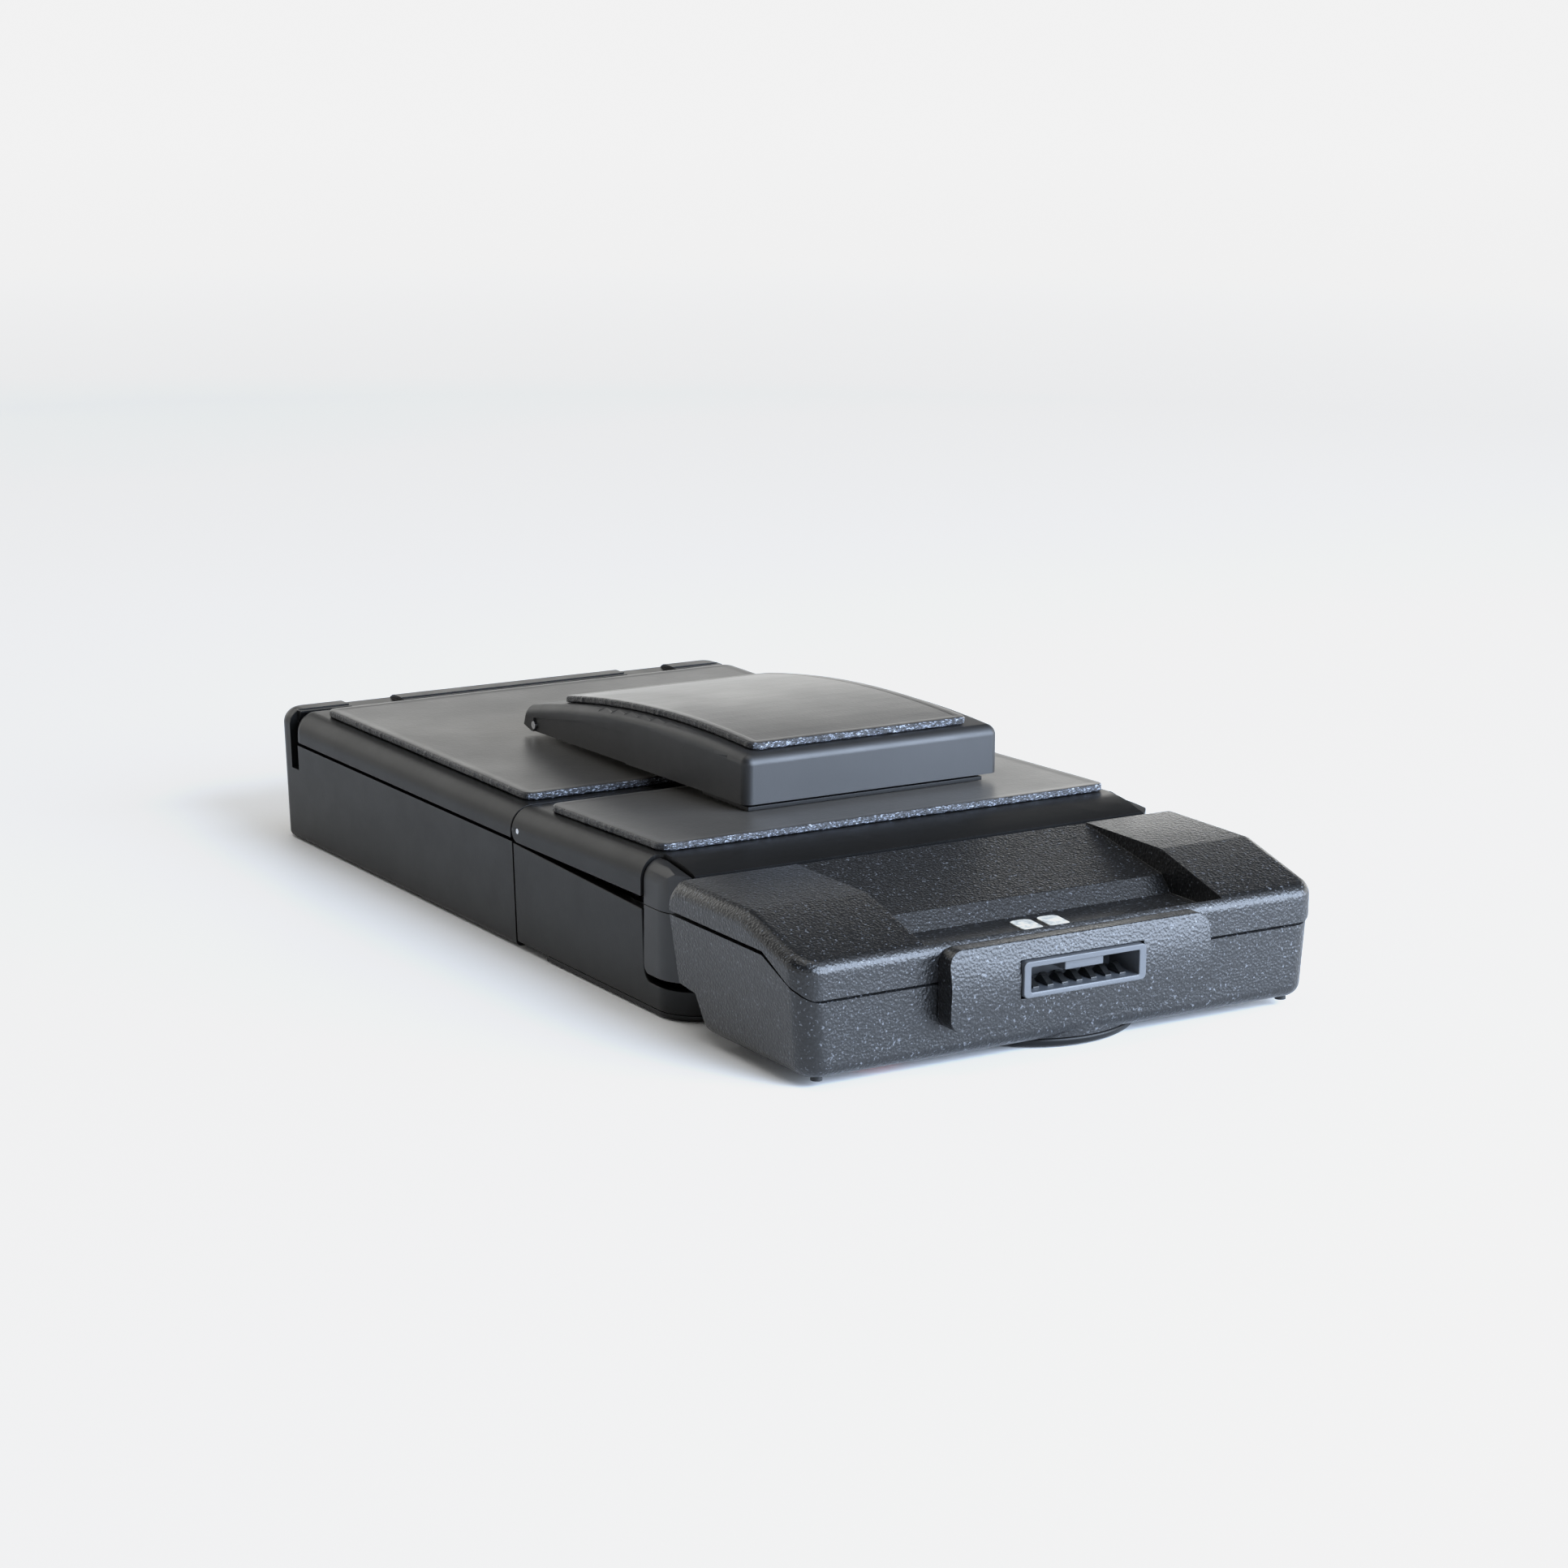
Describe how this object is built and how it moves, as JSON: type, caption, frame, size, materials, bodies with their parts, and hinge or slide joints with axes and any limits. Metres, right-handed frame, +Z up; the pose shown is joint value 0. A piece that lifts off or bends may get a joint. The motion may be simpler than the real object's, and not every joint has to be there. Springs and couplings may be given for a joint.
{
  "type": "folding instant camera",
  "caption": "Folded instant-film camera: flat base, hinged leather-panelled covers, viewfinder cap, and front shutter housing with a flash socket.",
  "frame": {"origin": "on the underside of the base, on the centre line, below the seam between the two top covers", "axes": "+X across the width, +Y towards the rear end, +Z up; the shutter housing is at the -Y end"},
  "size_m": [0.108, 0.2137, 0.0417],
  "materials": {
    "body_plastic": "satin",
    "grained_plastic": "fine moulded grain",
    "bezel_plastic": "smooth",
    "inner_plastic": "matt",
    "leather": "fine grain",
    "steel": "brushed",
    "brass": "turned",
    "mirror": "polished",
    "lens_glass": "coated",
    "window": "clear",
    "red_plastic": "glossy",
    "ivory_mark": "printed",
    "board": "satin",
    "film": "satin",
    "rubber_cloth": "matt",
    "motor_metal": "satin"
  },
  "bodies": {
    "base": {"rear_body_shell": "body_plastic", "rear_hinge_brackets": "inner_plastic", "rear_hinge_pins": "steel", "front_body_shell": "body_plastic", "chassis_frame": "inner_plastic", "tripod_socket": "brass", "base_screws": "steel", "counter_window": "window", "counter_axle": "inner_plastic", "film_pack_case": "inner_plastic", "film_stack": "film", "pack_spring": "steel", "pack_battery": "film", "main_board": "board", "drive_motor": "motor_metal", "gearbox": "inner_plastic", "bellows": "rubber_cloth", "fresnel_carrier": "inner_plastic", "fresnel_mirror": "mirror"},
    "counter_wheel": {"counter_wheel": "ivory_mark"},
    "door_latch": {"door_latch": "body_plastic"},
    "film_door": {"film_door": "body_plastic"},
    "lower_roller": {"lower_roller": "steel"},
    "upper_roller": {"upper_roller": "steel"},
    "rear_cover": {"rear_cover": "body_plastic", "rear_cover_leather": "leather", "taking_mirror": "mirror", "mirror_clips": "steel", "apex_pins": "steel"},
    "front_cover": {"front_cover": "body_plastic", "front_cover_leather": "leather", "neck_hinge_strip": "rubber_cloth", "finder_base": "inner_plastic"},
    "viewfinder": {"viewfinder_cap": "body_plastic", "viewfinder_leather": "leather", "eyepiece_frame": "inner_plastic", "viewfinder_pins": "steel", "finder_mirror": "mirror"},
    "shutter_housing": {"housing_lower_shell": "grained_plastic", "housing_upper_shell": "grained_plastic", "recess_badge": "ivory_mark", "neck_lower": "body_plastic", "neck_upper": "body_plastic", "housing_arms": "steel", "socket_surround": "grained_plastic", "socket_bezel": "bezel_plastic", "socket_contacts": "steel", "lens_barrel": "inner_plastic", "front_lens": "lens_glass", "rear_lens": "lens_glass", "shutter_blades": "inner_plastic", "shutter_plate": "inner_plastic", "photocell_window": "window", "button_spring": "steel", "focus_axle": "steel", "housing_peg": "inner_plastic", "lens_ring": "inner_plastic"},
    "shutter_button": {"shutter_button": "red_plastic"},
    "focus_wheel": {"focus_wheel": "inner_plastic"},
    "exposure_dial": {"exposure_dial": "inner_plastic"}
  },
  "joints": [
    {"name": "rear_cover_hinge", "type": "hinge", "parent": "base", "child": "rear_cover", "pos_m": [0, 0.0952, 0.0242], "axis": [-1, 0, 0], "range_deg": [0, 33.45]},
    {"name": "apex_hinge", "type": "hinge", "parent": "rear_cover", "child": "front_cover", "pos_m": [0, -0.0013, 0.0227], "axis": [1, 0, 0], "range_deg": [0, 72.96]},
    {"name": "neck_hinge", "type": "hinge", "parent": "front_cover", "child": "shutter_housing", "pos_m": [0, -0.0599, 0.0264], "axis": [-1, 0, 0], "range_deg": [0, 121.53]},
    {"name": "viewfinder_hinge", "type": "hinge", "parent": "front_cover", "child": "viewfinder", "pos_m": [0.00575, -0.0325, 0.0309], "axis": [1, 0, 0], "range_deg": [0, 28.02]},
    {"name": "film_door_hinge", "type": "hinge", "parent": "base", "child": "film_door", "pos_m": [0, -0.011, 0.0005], "axis": [1, 0, 0], "range_deg": [0, 62]},
    {"name": "lower_roller_spin", "type": "hinge", "parent": "film_door", "child": "lower_roller", "pos_m": [0, -0.054, 0.0052], "axis": [1, 0, 0], "continuous": true},
    {"name": "upper_roller_spin", "type": "hinge", "parent": "film_door", "child": "upper_roller", "pos_m": [0, -0.054, 0.0124], "axis": [1, 0, 0], "continuous": true},
    {"name": "door_latch_slide", "type": "slide", "parent": "base", "child": "door_latch", "axis": [0, -1, 0], "range_m": [0, 0.0028]},
    {"name": "counter_wheel_turn", "type": "hinge", "parent": "base", "child": "counter_wheel", "pos_m": [-0.031, 0.0955, 0.0084], "axis": [0, -1, 0], "range_deg": [0, 330]},
    {"name": "shutter_button_press", "type": "slide", "parent": "shutter_housing", "child": "shutter_button", "axis": [0, 0, 1], "range_m": [0, 0.0006], "stiffness_N_per_m": 300, "springref_m": -0.001, "deforming": ["button_spring"]},
    {"name": "focus_wheel_turn", "type": "hinge", "parent": "shutter_housing", "child": "focus_wheel", "pos_m": [0.038, -0.082, 0.0038], "axis": [0, 0, 1], "range_deg": [0, 270]},
    {"name": "exposure_dial_turn", "type": "hinge", "parent": "shutter_housing", "child": "exposure_dial", "pos_m": [0.039, -0.0966, 0.0037], "axis": [0, 0, 1], "range_deg": [-70, 70]}
  ],
  "couplings": [
    {"joint": "apex_hinge", "follows": "rear_cover_hinge", "ratio": 2.1806},
    {"joint": "neck_hinge", "follows": "rear_cover_hinge", "ratio": 3.6326},
    {"joint": "viewfinder_hinge", "follows": "rear_cover_hinge", "ratio": 0.83707},
    {"joint": "upper_roller_spin", "follows": "lower_roller_spin", "ratio": -1}
  ]
}
